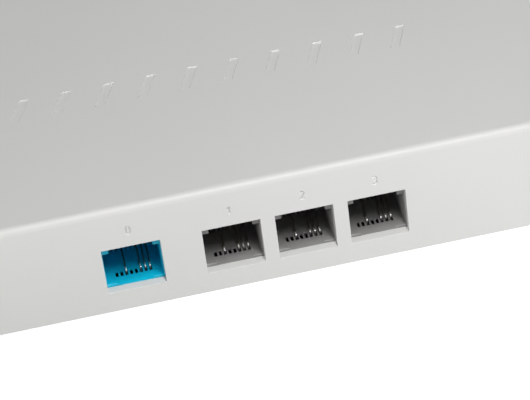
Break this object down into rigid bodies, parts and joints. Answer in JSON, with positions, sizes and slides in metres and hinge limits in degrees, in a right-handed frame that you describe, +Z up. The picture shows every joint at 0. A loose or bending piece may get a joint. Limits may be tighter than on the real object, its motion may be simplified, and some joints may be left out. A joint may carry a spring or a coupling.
{
  "type": "network gateway",
  "caption": "Flat light grey moulded network gateway with a blue modular jack apart from a row of grey ones, rubber feet, vents, supply inlet, power and reset buttons.",
  "frame": {"origin": "middle of the footprint, on the surface that the feet stand on", "axes": "+X along the port panel to the right of someone facing the ports, +Y from the port panel to the far side, +Z up"},
  "size_m": [0.159, 0.11, 0.029],
  "materials": {
    "case_top": "fine-grained moulded light grey ABS, soft sheen",
    "case_base": "fine-grained moulded light grey ABS",
    "rubber": "soft black rubber",
    "steel": "zinc-plated steel",
    "label": "blank satin film label",
    "blue_plastic": "smooth moulded cyan-blue plastic",
    "grey_plastic": "smooth moulded mid-grey plastic",
    "contact_gold": "thinly gold-plated spring bronze",
    "black_plastic": "moulded black plastic",
    "button_grey": "moulded grey plastic",
    "clear_plastic": "clear moulded acrylic",
    "lamp": "milky lamp resin",
    "board": "green solder mask over glass fibre board",
    "aluminium": "plain extruded aluminium",
    "pad": "soft silicone pad",
    "ferrite": "dull pressed ferrite"
  },
  "bodies": {
    "chassis": {"top_cover": "case_top", "base_cover": "case_base", "foot_1": "rubber", "foot_2": "rubber", "foot_3": "rubber", "foot_4": "rubber", "case_screw_1": "steel", "case_screw_2": "steel", "case_screw_3": "steel", "case_screw_4": "steel", "board_screw_1": "steel", "board_screw_2": "steel", "rating_label": "label", "wan_jack": "blue_plastic", "wan_contact_3": "contact_gold", "wan_contact_6": "contact_gold", "wan_contact_7": "contact_gold", "wan_contact_8": "contact_gold", "lan_1_jack": "grey_plastic", "lan_1_contact_3": "contact_gold", "lan_1_contact_6": "contact_gold", "lan_1_contact_7": "contact_gold", "lan_1_contact_8": "contact_gold", "lan_2_jack": "grey_plastic", "lan_2_contact_3": "contact_gold", "lan_2_contact_6": "contact_gold", "lan_2_contact_7": "contact_gold", "lan_2_contact_8": "contact_gold", "lan_3_jack": "grey_plastic", "lan_3_contact_3": "contact_gold", "lan_3_contact_6": "contact_gold", "lan_3_contact_7": "contact_gold", "lan_3_contact_8": "contact_gold", "power_inlet": "black_plastic", "power_inlet_pin": "steel", "power_switch": "black_plastic", "reset_switch": "black_plastic", "light_pipe": "clear_plastic", "status_lamp_1": "lamp", "status_lamp_2": "lamp", "status_lamp_3": "lamp", "status_lamp_4": "lamp", "status_lamp_5": "lamp", "main_board": "board", "processor": "black_plastic", "thermal_pad": "pad", "heat_sink": "aluminium", "memory_chip": "black_plastic", "flash_chip": "black_plastic", "line_transformer_0": "black_plastic", "line_transformer_1": "black_plastic", "line_transformer_2": "black_plastic", "line_transformer_3": "black_plastic", "clock_crystal": "steel", "supply_capacitor_1": "aluminium", "supply_capacitor_2": "aluminium", "supply_inductor": "ferrite"},
    "power_cap": {"power_button": "button_grey"},
    "reset_plunger": {"reset_button": "button_grey"}
  },
  "joints": [
    {"name": "power_button_press", "type": "slide", "parent": "chassis", "child": "power_cap", "axis": [0, 1, 0], "range_m": [0, 0.002], "stiffness_N_per_m": 350, "springref_m": -0.0005},
    {"name": "reset_button_press", "type": "slide", "parent": "chassis", "child": "reset_plunger", "axis": [0, 1, 0], "range_m": [0, 0.0005], "stiffness_N_per_m": 2000, "springref_m": -0.0002}
  ]
}
